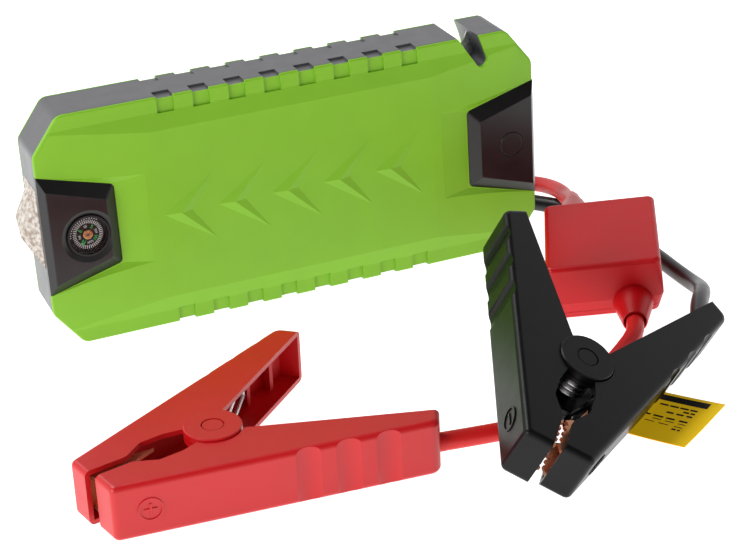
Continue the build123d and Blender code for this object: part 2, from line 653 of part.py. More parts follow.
def box_lid():
    lid = box_outer() - box_between((-BOX_W, -BOX_D, -1), (BOX_W, BOX_D, BOX_SPLIT))
    lid -= rounded_box(BOX_W / 2 - BOX_WALL, BOX_D / 2 - BOX_WALL, BOX_TAPER_TOP, BOX_H - BOX_WALL, 1.0)
    lid -= rounded_box(BOX_W / 2 - BOX_LOW_WALL, BOX_D / 2 - BOX_LOW_WALL, 0, BOX_TAPER_TOP, 1.0)
    return lid - gland_holes(0.05)


def box_base():
    """Shallow lower shell with a lip that stands inside the lid."""
    wall = BOX_LOW_WALL + 0.1
    base = tapered_part(0.0, BOX_SPLIT - 0.15)
    base = fillet(base.edges().group_by(Axis.Z)[0], 0.8)
    base += rounded_box(BOX_W / 2 - wall, BOX_D / 2 - wall, BOX_WALL, BOX_SPLIT + 1.2, 1.0)
    base -= rounded_box(BOX_W / 2 - wall - 0.9, BOX_D / 2 - wall - 0.9, BOX_WALL, BOX_H, 1.0)
    return base - gland_holes(0.05)


GLAND_NECK = 3.9
GLAND_ROOT = 6.9
GLAND_TIP = 4.2


def gland_holes(grow):
    """Round openings for both glands' necks."""
    front = rod((FRONT_GLAND_X, -BOX_D / 2 - 2, GLAND_Z), (FRONT_GLAND_X, -BOX_D / 2 + 5, GLAND_Z), GLAND_NECK + grow)
    back = rod((BACK_GLAND_X, BOX_D / 2 - 5, BACK_GLAND_Z), (BACK_GLAND_X, BOX_D / 2 + 2, BACK_GLAND_Z), GLAND_NECK + grow)
    return front + back


def gland(x, z, side, length):
    """Tapered strain relief; side is -1 on the front face and +1 on the back face."""
    face_y = side * (BOX_D / 2 + 0.5)
    neck = rod((x, side * (BOX_D / 2 - 4), z), (x, face_y, z), GLAND_NECK)
    plane = Plane(origin=(x, face_y, z), z_dir=(0, side, 0))
    flare = Solid.make_cone(GLAND_ROOT, GLAND_TIP, length, plane)
    flare = fillet(flare.edges().filter_by(GeomType.CIRCLE).sort_by(SortBy.RADIUS)[0], 0.5)
    flare += rod((x, side * (BOX_D / 2 - 3), z), (x, face_y, z), GLAND_ROOT) - box_outer()
    end_y = side * (BOX_D / 2 + length + 1)
    bore = rod((x, side * (BOX_D / 2 - 5), z), (x, end_y, z), CABLE_R + CABLE_FIT)
    mouth_plane = Plane(origin=(x, end_y, z), z_dir=(0, -side, 0))
    mouth = Solid.make_cone(CABLE_R + 0.9, CABLE_R + CABLE_FIT, 7.0, mouth_plane)
    return neck + flare - bore - mouth


def gland_cable(x, z, side, length):
    """Stretch of cable held inside a gland, down to the board."""
    return ((x, side * (BOX_D / 2 - 4), z), (x, side * (BOX_D / 2 + 0.5 + length), z))


def box_board():
    board = box_between((-15, -18, BOX_WALL), (15, 18, BOX_WALL + 1.4))
    block = box_between((-12, -8, BOX_WALL + 1.4), (12, 8, 12.0))
    return board + block


# ---- clamps -------------------------------------------------------------------------------------
THROAT_PLAN = [(7.5, 6.6), (0.0, 0.0), (-8.0, 4.5), (-14.0, 6.0), (-22.0, 6.0), (-29.0, JAW_GAP)]
MOVING_PLAN = [(-43.0, JAW_GAP), (-43.0, 10.8), (49.5, 40.5), (54.5, 34.2)] + THROAT_PLAN
FIXED_PLAN = [(-41.5, JAW_GAP), (-41.5, 11.3), (54.5, 41.2), (59.0, 35.2)] + THROAT_PLAN
SCALLOP_X = [13.5, 25.5, 37.5]
JAW_TIP_X = -39.7


def outer_line_y(plan, x):
    """Plan position of an arm's outer face at x."""
    (x0, y0), (x1, y1) = plan[1], plan[2]
    return y0 + (y1 - y0) * (x - x0) / (x1 - x0)


def outer_slope(plan):
    (x0, y0), (x1, y1) = plan[1], plan[2]
    return math.atan2(y1 - y0, x1 - x0)


def channel_plan(plan):
    """Plan of the channel inside an arm, one wall in from its outline."""
    tip, outer, lip = Vector(*plan[1]), Vector(*plan[2]), Vector(*plan[3])
    long_side = (outer - tip).normalized()
    end_side = (lip - outer).normalized()
    first, second = Vector(-long_side.Y, long_side.X), Vector(-end_side.Y, end_side.X)
    corner = outer - (first + second) * (ARM_WALL / (1 + first.dot(second)))
    end = corner + end_side * 14.0
    front = tip.X + ARM_WALL
    rise_x = -23.5
    rise_y = outer_line_y(plan, rise_x) - ARM_WALL / math.cos(outer_slope(plan))
    return [(front, -14.0), (front, JAW_SEAT), (rise_x - 2.5, JAW_SEAT), (rise_x, rise_y),
            (corner.X, corner.Y), (end.X, end.Y), (20.0, -14.0)]


def flat_prism(points, half, side=1):
    """Prism of a plan outline between -half and +half; side -1 mirrors it to the other arm."""
    placed = [Vector(x, side * y, -half) for x, y in points]
    face = Face(Wire.make_polygon(placed, close=True))
    return Solid.extrude(face, Vector(0, 0, 2 * half))


def near_edges(shape, spots, side, reach=0.6):
    """Upright edges of an arm at given plan points."""
    found = []
    for edge in shape.edges().filter_by(Axis.Z):
        centre = edge.center()
        for x, y in spots:
            if abs(centre.X - x) < reach and abs(centre.Y - side * y) < reach:
                found.append(edge)
    return found


def outer_rims(shape, plan, side):
    """Edges of both broad faces along an arm's tip, outer side and end."""
    chain = [Vector(x, side * y) for x, y in plan[:4]]
    found = []
    for edge in shape.edges():
        centre = edge.center()
        if abs(abs(centre.Z) - ARM_HALF) > 0.01:
            continue
        flat = Vector(centre.X, centre.Y)
        for start, end in zip(chain, chain[1:]):
            along = (end - start).normalized()
            reach = min(max((flat - start).dot(along), 0.0), (end - start).length)
            if (flat - (start + along * reach)).length < 2.0:
                found.append(edge)
                break
    return found


def arm_blank(plan, side):
    """Solid arm with rounded outer edges and a scalloped grip."""
    body = flat_prism(plan, ARM_HALF, side)
    body = fillet(near_edges(body, [plan[2]], side), END_ROUND)
    body = fillet(near_edges(body, [plan[1]], side), ARM_ROUND + 0.3)
    body = fillet(near_edges(body, THROAT_PLAN[2:], side), 2.0)
    body = fillet(outer_rims(body, plan, side), ARM_ROUND)
    for x in SCALLOP_X:
        y = side * (outer_line_y(plan, x) + SCALLOP_RADIUS - SCALLOP_DEPTH)
        body -= rod((x, y, -ARM_HALF - 1), (x, y, ARM_HALF + 1), SCALLOP_RADIUS)
    return body + polarity_ring(plan, side)


def arm_ribs(plan):
    """Two cross ribs inside the moving handle."""
    ribs = []
    inner = ARM_HALF - ARM_WALL
    for x in (30.0, 41.0):
        top = outer_line_y(plan, x) - 1.2
        ribs.append(box_between((x - 0.6, top - 5.0, -inner), (x + 0.6, top, inner)))
    return ribs[0] + ribs[1]


def mark_plane(plan, side, lift):
    """Plane of the polarity mark, on the outer face near the tip."""
    x = -31.0
    slope = outer_slope(plan)
    along = Vector(math.cos(slope), side * math.sin(slope), 0)
    normal = Vector(-math.sin(slope), side * math.cos(slope), 0)
    foot = Vector(x, side * outer_line_y(plan, x), 0) + normal * lift
    return Plane(origin=foot, x_dir=along, z_dir=normal)


def polarity_ring(plan, side):
    plane = mark_plane(plan, side, -0.2)
    return Solid.make_cylinder(3.9, 0.55, plane) - Solid.make_cylinder(3.3, 1.0, plane)


def polarity_bar(plan, side, turned):
    """Bar of the polarity mark: along the arm, or across it when turned."""
    size = (0.7, 4.0) if turned else (4.0, 0.7)
    return mark_plane(plan, side, 0.075).location * Box(size[0], size[1], 0.55)


def moving_arm(positive):
    body = arm_blank(MOVING_PLAN, 1)
    body += rod((0, 0, -ARM_HALF), (0, 0, ARM_HALF), DISC_RADIUS)
    body -= flat_prism(channel_plan(MOVING_PLAN), ARM_HALF - ARM_WALL)
    body += arm_ribs(MOVING_PLAN)
    for sign in (-1, 1):
        low, high = sorted((sign * ARM_HALF, sign * (ARM_HALF + DISC_STEP)))
        disc = rod((0, 0, low), (0, 0, high), DISC_RADIUS)
        body += chamfer(disc.edges().group_by(Axis.Z)[-1 if sign > 0 else 0], 0.3)
        body -= rod((0, 0, sign * ARM_HALF), (0, 0, sign * (ARM_HALF + 2)), HEAD_POCKET)
    body -= rod((0, 0, -20), (0, 0, 20), PIN_RADIUS + 0.1)
    return marked(body, MOVING_PLAN, 1, positive)


def fixed_arm(positive):
    body = arm_blank(FIXED_PLAN, -1)
    for sign in (-1, 1):
        body -= rod((0, 0, sign * EAR_HALF), (0, 0, sign * (ARM_HALF + 1)), DISC_RADIUS + 0.4)
    body += rod((0, 0, -EAR_HALF), (0, 0, EAR_HALF), DISC_RADIUS)
    channel = flat_prism(channel_plan(FIXED_PLAN), ARM_HALF - ARM_WALL, -1)
    thick = rod((0, 0, -ARM_HALF), (0, 0, ARM_HALF), DISC_RADIUS + 4.0)
    body -= channel - thick
    body -= flat_prism(channel_plan(FIXED_PLAN), EAR_HALF - ARM_WALL, -1)
    body -= rod((0, 0, -20), (0, 0, 20), PIN_RADIUS + 0.03)
    start, far = Vector(*LEAD_PATH[1]), Vector(*LEAD_PATH[0])
    beyond = far + (far - start).normalized() * 10
    body -= rod(far - (far - start).normalized() * 8, beyond, CABLE_R + 0.25)
    return marked(body, FIXED_PLAN, -1, positive)


def marked(body, plan, side, positive):
    body += polarity_bar(plan, side, False)
    if positive:
        body += polarity_bar(plan, side, True)
    return body


def pivot_pin():
    length = ARM_HALF + 0.05
    pin = rod((0, 0, -length), (0, 0, length), PIN_RADIUS)
    for sign in (-1, 1):
        head = rod((0, 0, sign * length), (0, 0, sign * (length + 0.6)), PIN_HEAD_RADIUS)
        pin += head
    return pin


def toothed_side(side, z_low, z_high):
    """Toothed plate of a jaw; the two jaws' teeth are half a pitch apart."""
    x_low, x_high = JAW_TIP_X, -24.5
    shift = 0.0 if side > 0 else TOOTH_PITCH / 2
    points = [(x_low, JAW_SEAT), (x_low, TOOTH_GAP + TOOTH_DEPTH)]
    x = x_low + shift
    while x + TOOTH_PITCH <= x_high:
        points.append((x + TOOTH_PITCH / 2, TOOTH_GAP))
        points.append((x + TOOTH_PITCH, TOOTH_GAP + TOOTH_DEPTH))
        x += TOOTH_PITCH
    points += [(x_high, 3.5), (-17.5, 5.8), (x_high, JAW_SEAT)]
    placed = [Vector(px, side * py, z_low) for px, py in points]
    return Solid.extrude(Face(Wire.make_polygon(placed, close=True)), Vector(0, 0, z_high - z_low))


def jaw(side):
    """Copper jaw: a sheet channel with toothed edges."""
    outer = 5.9
    body = toothed_side(side, outer - JAW_PLATE, outer) + toothed_side(side, -outer, -outer + JAW_PLATE)
    y_low, y_high = sorted((side * (JAW_SEAT - JAW_PLATE), side * JAW_SEAT))
    return body + box_between((JAW_TIP_X, y_low, -outer), (-24.5, y_high, outer))


def spring():
    """Torsion spring's coils around the pin, with the leg that rests in the fixed handle."""
    rings = []
    first = -(COIL_TURNS - 1) / 2 * COIL_PITCH
    for i in range(COIL_TURNS):
        rings.append(Pos(0, 0, first + i * COIL_PITCH) * Torus(COIL_R, WIRE_R))
    rings[0] = rings[0] + rod((2.6, -COIL_R + 0.5, first), (28.0, -28.6, first), WIRE_R)
    return Compound(rings)


def spring_leg():
    """The spring's other leg: a double wire, bent across at its end, that turns with the moving handle."""
    height = (COIL_TURNS - 1) / 2 * COIL_PITCH
    leg = rod((28.0, 28.6, -height), (28.0, 28.6, height), WIRE_R)
    for z in (-height, height):
        leg += rod((6.0, 5.4, z), (28.0, 28.6, z), WIRE_R) + Pos(28.0, 28.6, z) * Sphere(WIRE_R)
    return leg


LEAD_PATH = [(59.7, -36.2, -2.0), (34.0, -28.6, 0.2), (10.0, -17.0, 1.6), (-8.0, -10.2, 0.6)]
LEAD_END = (-19.5, -4.6, 0.0)
CABLE_START = (60.9, -36.55, -2.1)     # where the loose cable takes over, just outside the lead


def clamp_lead():
    """End of the cable inside the fixed arm, with a shrink sleeve over its lug in the throat."""
    path = FilletPolyline(*LEAD_PATH, radius=14.0)
    lead = sweep(Plane(origin=path @ 0, z_dir=path % 0) * Circle(CABLE_R), path=path)
    sleeve = rod((-7.0, -10.6, 0.6), LEAD_END, 3.7)
    return lead + sleeve + Pos(*LEAD_END) * Sphere(3.7)


def clamp_nodes(prefix, positive, location):
    shapes = {
        "fixed_arm": fixed_arm(positive),
        "moving_arm": moving_arm(positive),
        "fixed_jaw": jaw(-1),
        "moving_jaw": jaw(1),
        "pivot_pin": pivot_pin(),
        "spring": spring(),
        "spring_leg": spring_leg(),
        "lead_end": clamp_lead(),
    }
    for name, shape in shapes.items():
        save(prefix + "_" + name, shape.moved(location))


def placed_point(location, point):
    return tuple((location * Location(point)).position)


# ---- plug and cables ----------------------------------------------------------------------------
def jump_plug():
    """Two-pole plug on the lead, lying behind the pack."""
    length, width, height = PLUG_SIZE
    body = Pos(*PLUG_CENTRE) * Box(length, width, height)
    body = fillet(body.edges().filter_by(Axis.X), 3.0)
    x, y, z = PLUG_CENTRE
    nose = Pos(x - length / 2 - 4, y, z) * Box(9.0, width - 2.4, height - 2.0)
    body += fillet(nose.edges().filter_by(Axis.X), 2.4)
    for side in (-1, 1):
        pole_y = y + side * PLUG_CABLE_PITCH / 2
        body -= rod((x - length / 2 - 10, pole_y, z), (x - length / 2 + 10, pole_y, z), 3.2)
        body -= rod((x + length / 2 - 8, pole_y, z), (x + length / 2 + 1, pole_y, z), CABLE_R + CABLE_FIT)
    return body


def plug_contacts():
    x, y, z = PLUG_CENTRE
    pins = []
    for side in (-1, 1):
        pole_y = y + side * PLUG_CABLE_PITCH / 2
        pin = rod((x - PLUG_SIZE[0] / 2 - 7, pole_y, z), (x - PLUG_SIZE[0] / 2 + 10, pole_y, z), 2.5)
        pins.append(fillet(pin.edges().sort_by(Axis.X)[0], 1.0))
    return Compound(pins)


def cable(route, name):
    """Round cable along straight runs joined by tangent arcs."""
    points = [Vector(*p) for p in route]
    radii = []
    for before, at, after in zip(points, points[1:], points[2:]):
        first, second = at - before, after - at
        turn = math.radians(first.get_angle(second))
        radii.append(0.45 * min(first.length, second.length) / math.tan(turn / 2))
    path = FilletPolyline(*points, radius=radii)
    tube = sweep(Plane(origin=path @ 0, z_dir=path % 0) * Circle(CABLE_R), path=path)
    expected = math.pi * CABLE_R ** 2 * path.length
    print(name, "length %.0f" % path.length, "volume ratio %.3f" % (tube.volume / expected),
          "radii", [round(r, 1) for r in radii])
    return tube


BLACK_PLACE = tilted_location(BLACK_PIVOT, BLACK_HEADING, BLACK_ROLL, BLACK_PITCH)
RED_PLACE = tilted_location(RED_PIVOT, RED_HEADING, RED_ROLL)


def cable_routes():
    plug_x = PLUG_CENTRE[0] + PLUG_SIZE[0] / 2
    pole_y = PLUG_CABLE_PITCH / 2
    back = [placed_point(box_location(), p) for p in gland_cable(BACK_GLAND_X, BACK_GLAND_Z, 1, BACK_GLAND_LENGTH)]
    front = [placed_point(box_location(), p) for p in gland_cable(FRONT_GLAND_X, GLAND_Z, -1, GLAND_LENGTH)]
    red_end = placed_point(RED_PLACE, CABLE_START)
    black_end = placed_point(BLACK_PLACE, CABLE_START)
    return {
        "red_cable_in": [back[0], back[1], (105.9, -15.0, 15.6), (109.2, -4.0, 10.9), (111.4, 5.0, 9.8),
                         (112.0, 14.0, 8.2), (110.8, 23.0, 6.6), (106.0, 31.0, 5.4), (97.0, PLUG_CENTRE[1] + pole_y, 5.0),
                         (plug_x - 7.5, PLUG_CENTRE[1] + pole_y, 5.0)],
        "red_cable_out": [front[0], front[1], (82.4, -106.6, 5.8), (74.2, -112.6, 4.0), (62.0, -122.5, 3.8),
                          (45.0, -137.0, 3.8), (28.0, -144.8, 5.0), (12.2, -146.6, 6.8), red_end],
        "black_cable": [black_end, (105.3, -108.5, 11.8), (113.0, -98.0, 10.3), (118.5, -87.5, 6.2),
                        (120.9, -77.0, 3.6), (121.2, -65.0, 3.1), (121.4, -53.0, 3.1), (121.2, -41.0, 3.1),
                        (120.3, -28.0, 3.1), (119.0, -15.0, 3.1), (116.5, -3.0, 3.1), (111.5, 6.5, 3.1),
                        (104.0, 14.5, 3.4), (96.0, 22.0, 4.4), (plug_x + 3.5, PLUG_CENTRE[1] - pole_y, 5.0),
                        (plug_x - 7.5, PLUG_CENTRE[1] - pole_y, 5.0)],
    }


TAG_ROOT = (51.8, -128.6)
TAG_END = (75.3, -164.2)
TAG_WIDTH = 29.0
TAG_T = 0.5


def warning_tag():
    """Flag label folded round the red cable, lying on the table."""
    root, end = Vector(*TAG_ROOT), Vector(*TAG_END)
    along = (end - root).normalized()
    across = Vector(-along.Y, along.X)
    corners = [root + across * (TAG_WIDTH / 2), end + across * (TAG_WIDTH / 2),
               end - across * (TAG_WIDTH / 2), root - across * (TAG_WIDTH / 2)]
    face = Face(Wire.make_polygon([Vector(p.X, p.Y, 0.02) for p in corners], close=True))
    return Solid.extrude(face, Vector(0, 0, TAG_T))


# ---- the whole set ------------------------------------------------------------------------------
def build_all():
    save("front_cover", front_cover())
    save("back_cover", back_cover())
    save("mid_frame", mid_frame())
    save("cover_screws", cover_screws())
    save("compass_plate", compass_plate())
    save("button_plate", button_plate())
    save("power_button", power_button())
    save("button_switch", button_switch())
    save("compass_case", compass_case())
    save("compass_pivot", compass_pivot())
    save("compass_dial", compass_dial())
    save("compass_cap", compass_cap())
    save("compass_glass", compass_glass())
    save("glass_breaker", glass_breaker())
    save("cutter_blade", cutter_blade())
    save("port_panel", port_panel())
    save("jump_socket", jump_socket())
    save("socket_contacts", socket_contacts())
    save("usb_sockets", usb_sockets())
    save("dc_socket", dc_socket())
    save("port_cover", port_cover())
    reflector, led, lens = torch_parts()
    save("torch_reflector", reflector)
    save("torch_led", led)
    save("torch_lens", lens)
    save("battery_cells", battery_cells())
    save("circuit_board", circuit_board())
    save("board_components", board_components())
    save("power_straps", power_straps())
    place = box_location()
    save("box_lid", box_lid().moved(place))
    save("box_base", box_base().moved(place))
    save("box_board", box_board().moved(place))
    save("box_front_gland", gland(FRONT_GLAND_X, GLAND_Z, -1, GLAND_LENGTH).moved(place))
    save("box_back_gland", gland(BACK_GLAND_X, BACK_GLAND_Z, 1, BACK_GLAND_LENGTH).moved(place))
    clamp_nodes("red_clamp", True, RED_PLACE)
    clamp_nodes("black_clamp", False, BLACK_PLACE)
    save("jump_plug", jump_plug())
    save("plug_contacts", plug_contacts())
    for name, route in cable_routes().items():
        save(name, cable(route, name))
    save("warning_tag", warning_tag())


build_all()
os.makedirs("parts", exist_ok=True)
for node, solid in parts.items():
    export_step(solid, "parts/" + node + ".step")
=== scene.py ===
"""Jump starter pack with its lead set on a pale table: looks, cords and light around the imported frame."""
import math

import bpy
from mathutils import Matrix, Vector


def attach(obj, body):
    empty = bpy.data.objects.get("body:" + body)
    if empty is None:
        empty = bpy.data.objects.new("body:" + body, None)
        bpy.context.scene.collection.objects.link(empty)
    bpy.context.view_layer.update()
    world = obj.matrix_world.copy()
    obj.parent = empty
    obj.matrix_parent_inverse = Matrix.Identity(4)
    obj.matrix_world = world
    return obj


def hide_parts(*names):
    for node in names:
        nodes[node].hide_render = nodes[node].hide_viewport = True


MM = 0.001
WHITE = (1.0, 1.0, 1.0, 1.0)

# ---- camera -------------------------------------------------------------------------------------
CAMERA_AT = Vector((-0.2164, -0.6568, 0.3254))
CAMERA_AIM = Vector((0.0245, -0.0108, 0.0))
CAMERA_ROLL = math.radians(-3.76)
CAMERA_LENS = 101.6
CAMERA_NEAR = 10.0 * MM
SENSOR = 36.0

# ---- studio: bright round the horizon, dark overhead, and dimmer on the camera's side -----------
SKY_HEIGHT = (0.48, 0.66)    # where the light falls off, from 0 at the horizon to 1 overhead
HEIGHT_LIGHT = (1.0, 0.14)
SKY_DEPTH = (-0.8, 0.3)      # where it rises, from -1 on the camera's side to 1 behind the pack
DEPTH_LIGHT = (0.48, 1.0)
SOFTBOXES = [                # name, place, aim, size and power
    ("left_softbox", (-0.95, -0.5, 0.5), (0.0, -0.05, 0.05), 0.4, 5.0),
    ("top_softbox", (-0.35, 0.35, 1.05), (0.0, -0.05, 0.0), 0.6, 7.0),
]
FLOOR_SIZE = 6.0
FLOOR_TONE = (0.5, 0.5, 0.5, 1.0)
FLOOR_ROUGHNESS = 0.6
FLOOR_GLOW = 1.1

# ---- finishes -----------------------------------------------------------------------------------
GRAIN_SCALE = 3200.0
GRAIN_DEPTH = 0.02 * MM
GRAIN_DETAIL = 2.0
DRIFT_SCALE = 70.0           # slow drift in tone, and twice as fine in gloss
DRIFT_DETAIL = 5.0
DRIFT_SPAN = (0.3, 0.7)      # part of the noise's range that the gloss is spread over
MOTTLE_DETAIL = 4.0
MOTTLE_SPAN = (0.35, 0.65)
SHADE = 0.96                 # darker of a plastic's two tones, against its main one
PLASTIC_GLOSS = (0.03, 0.04)   # how far a plastic's roughness drifts down and up
METAL_GLOSS = (0.06, 0.12)
METAL_DRIFT_SCALE = 300.0
METAL_GRAIN_SCALE = 2000.0
METAL_GRAIN_DEPTH = 0.01 * MM
BREAKER_ROUGHNESS = 0.5
BREAKER_GRAIN = (900.0, 0.12 * MM, 6.0)   # scale, depth and detail
BREAKER_MOTTLE_SCALE = 700.0
LED_SCALE = 3000.0
BOARD_SCALE = 900.0

# ---- compass dial -------------------------------------------------------------------------------
DIAL_CENTRE = Vector((-77.3 * MM, -12.2 * MM, 40.9 * MM))
PRINT_LIFT = 0.02 * MM
TICK_COUNT = 44
TICK_INNER = 4.05 * MM
TICK_OUTER = 5.35 * MM
TICK_HALF_WIDTH = 0.13 * MM
NORTH_ANGLE = math.radians(236)
QUARTERS = (("N", "NE"), ("E", "SE"), ("S", "SW"), ("W", "NW"))
LETTER_RADIUS = 2.95 * MM
LETTER_DEPTH = 0.01 * MM
MAIN_LETTER = 1.9 * MM
HALF_LETTER = 1.25 * MM
ARROW_FOOT = 3.6 * MM
ARROW_TIP = 4.5 * MM
ARROW_SPREAD = 0.17          # in radians, to each side of north
CAP_TOP = 0.6 * MM           # from the card to the top of its cap
CAP_MIDDLE = 0.55 * MM
CAP_SIDES = 12
BEZEL_LIFT = 1.19 * MM       # from the card to the ring under the glass
DOT_COUNT = 16
DOT_RADIUS = 6.3 * MM
DOT_HALF_LENGTH = 0.15 * MM
DOT_HALF_WIDTH = 0.17 * MM
DOT_START = 178.0            # in degrees, anticlockwise from the right
DOT_STEP = 8.0

# ---- clamps' springs ----------------------------------------------------------------------------
WIRE_RADIUS = 0.9 * MM
WIRE_ROUNDING = 4            # steps in the wire's round section
COIL_RADIUS = 4.7 * MM
COIL_TURNS = 4
COIL_PITCH = 2.1 * MM
COIL_STEPS = 24              # points in one turn
COIL_LAST_STEPS = 18         # points in the last, part turn
COIL_START = math.atan2(-4.2, 2.6)       # direction from the pin to where the leg leaves the coil
LEG_END = (28.0 * MM, -28.6 * MM)        # along and across the clamp, from the pin
LEG_TIP = 0.985              # second point of the leg, as a share of the way to its end

# ---- cords: the part's routes, run on at the clamps into their lead ends ------------------------
CABLE_DIAMETER = 6.0 * MM
CABLE_ROUNDING = 6
CURVE_STEPS = 16
RED_IN_ROUTE = [
    (0.0931, -0.0417, 0.0175), (0.0999, -0.0279, 0.0189), (0.1059, -0.0150, 0.0156),
    (0.1092, -0.0040, 0.0109), (0.1114, 0.0050, 0.0098), (0.1120, 0.0140, 0.0082),
    (0.1108, 0.0230, 0.0066), (0.1060, 0.0310, 0.0054), (0.0970, 0.0355, 0.0050),
    (0.0740, 0.0355, 0.0050),
]
RED_OUT_ROUTE = [
    (0.0935, -0.0845, 0.0077), (0.0861, -0.0998, 0.0062), (0.0824, -0.1066, 0.0058),
    (0.0742, -0.1126, 0.0040), (0.0620, -0.1225, 0.0038), (0.0450, -0.1370, 0.0038),
    (0.0280, -0.1448, 0.0050), (0.0122, -0.1466, 0.0068), (-0.0064, -0.1453, 0.0078),
]
BLACK_ROUTE = [
    (0.0990, -0.1199, 0.0109), (0.1053, -0.1085, 0.0118), (0.1130, -0.0980, 0.0103),
    (0.1185, -0.0875, 0.0062), (0.1209, -0.0770, 0.0036), (0.1212, -0.0650, 0.0031),
    (0.1214, -0.0530, 0.0031), (0.1212, -0.0410, 0.0031), (0.1203, -0.0280, 0.0031),
    (0.1190, -0.0150, 0.0031), (0.1165, -0.0030, 0.0031), (0.1115, 0.0065, 0.0031),
    (0.1040, 0.0145, 0.0034), (0.0960, 0.0220, 0.0044), (0.0850, 0.0265, 0.0050),
    (0.0740, 0.0265, 0.0050),
]

# ---- label on the red lead, folded round it -----------------------------------------------------
TAG_AT = Vector((53.5, -129.75, 3.8)) * MM          # on the cord's centre line
TAG_REACH = 41.0 * MM
TAG_WIDTH = 29.0 * MM
TAG_STEP = 0.5 * MM
TAG_ALONG = Vector((0.535, -0.845, 0.0))
TAG_ACROSS_ROOT = Vector((0.76, 0.65, 0.0))
TAG_ACROSS_END = Vector((0.83, 0.56, 0.0))
TAG_PAINTED_GLOW = 0.22              # painted glow: emission that stands in for the light the thin film lets through from the bright table
TAG_LOW_HEIGHT = 0.12 * MM   # lower half, from its free end to near the cord
TAG_LOW_START = 4.0 * MM
TAG_FOLD_RADIUS = 3.3 * MM
TAG_FOLD_POINTS = 28
TAG_FOLD_START = -75.0       # in degrees round the cord
TAG_FOLD_STEP = -8.5
TAG_FALL_END = 13.0 * MM     # where the upper half comes to lie on the lower one
TAG_TOP_HEIGHT = 0.4 * MM
TAG_END_LIFT = 2.2 * MM
TAG_CORNER_LIFT = 2.0 * MM
TAG_LIFT_START = 0.45        # share of the reach where the free end starts to lift
TAG_CORNER_START = -0.1      # share of the width where the corner starts to lift
TAG_ROWS = [                 # middle across, height, start and stop from the free end, in mm, and words
    (11.2, 3.4, 4.0, 33.0, 1),
    (6.9, 0.9, 6.0, 20.0, 4),
    (5.0, 0.9, 6.0, 11.0, 2),
    (3.1, 0.9, 6.0, 16.0, 3),
    (-0.4, 0.9, 6.0, 24.0, 4),
    (-2.3, 0.9, 6.0, 19.0, 3),
    (-4.2, 0.9, 6.0, 27.0, 4),
    (-6.1, 0.9, 6.0, 10.0, 2),
]
WORD_SHARE = 0.84            # printed share of a word's place in the first row
WORD_SHRINK = 0.03           # and how much less there is of it in each next row

ROOT = "pack_and_lead"
CARD = "compass_card"

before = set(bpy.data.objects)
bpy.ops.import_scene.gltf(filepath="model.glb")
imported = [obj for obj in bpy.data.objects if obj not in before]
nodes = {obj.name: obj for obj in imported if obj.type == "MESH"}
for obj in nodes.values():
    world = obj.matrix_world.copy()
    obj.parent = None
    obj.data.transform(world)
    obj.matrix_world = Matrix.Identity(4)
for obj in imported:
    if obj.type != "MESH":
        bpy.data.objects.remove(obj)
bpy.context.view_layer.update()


# ---- materials ----------------------------------------------------------------------------------
def linear(channel):
    """Display value from 0 to 255 as scene light, by the sRGB curve."""
    value = channel / 255
    return value / 12.92 if value <= 0.04045 else ((value + 0.055) / 1.055) ** 2.4


def colour(red, green, blue):
    return (linear(red), linear(green), linear(blue), 1.0)


def principled(name, base, roughness, metallic=0.0, **extra):
    material = bpy.data.materials.new(name)
    material.use_nodes = True
    shader = material.node_tree.nodes["Principled BSDF"]
    shader.inputs["Base Color"].default_value = base
    shader.inputs["Roughness"].default_value = roughness
    shader.inputs["Metallic"].default_value = metallic
    for key, value in extra.items():
        shader.inputs[key.replace("_", " ")].default_value = value
    return material


def noise_field(material, scale, detail):
    """Noise in the piece's own space."""
    tree = material.node_tree
    where = tree.nodes.new("ShaderNodeTexCoord")
    noise = tree.nodes.new("ShaderNodeTexNoise")
    noise.inputs["Scale"].default_value = scale
    noise.inputs["Detail"].default_value = detail
    tree.links.new(where.outputs["Object"], noise.inputs["Vector"])
    return noise.outputs["Fac"]


def map_range(tree, source, span, result):
    """Value that goes over the result range while the source goes over its span."""
    spread = tree.nodes.new("ShaderNodeMapRange")
    spread.inputs["From Min"].default_value = span[0]
    spread.inputs["From Max"].default_value = span[1]
    spread.inputs["To Min"].default_value = result[0]
    spread.inputs["To Max"].default_value = result[1]
    tree.links.new(source, spread.inputs["Value"])
    return spread.outputs["Result"]


def grain(material, scale, depth, detail=GRAIN_DETAIL):
    """Fine moulded grain as a bump."""
    tree = material.node_tree
    bump = tree.nodes.new("ShaderNodeBump")
    bump.inputs["Distance"].default_value = depth
    bump.inputs["Strength"].default_value = 1.0
    tree.links.new(noise_field(material, scale, detail), bump.inputs["Height"])
    tree.links.new(bump.outputs["Normal"], tree.nodes["Principled BSDF"].inputs["Normal"])
    return material


def mottled(material, first, second, scale):
    """Base colour that varies softly between two colours."""
    tree = material.node_tree
    ramp = tree.nodes.new("ShaderNodeValToRGB")
    for element, position, tone in zip(ramp.color_ramp.elements, MOTTLE_SPAN, (first, second)):
        element.position = position
        element.color = tone
    tree.links.new(noise_field(material, scale, MOTTLE_DETAIL), ramp.inputs["Fac"])
    tree.links.new(ramp.outputs["Color"], tree.nodes["Principled BSDF"].inputs["Base Color"])
    return material


def handled(material, scale, roughness, drift):
    """Roughness that drifts down and up from its main value, as on a handled surface."""
    tree = material.node_tree
    noise = noise_field(material, scale, DRIFT_DETAIL)
    result = map_range(tree, noise, DRIFT_SPAN, (roughness - drift[0], roughness + drift[1]))
    tree.links.new(result, tree.nodes["Principled BSDF"].inputs["Roughness"])
    return material


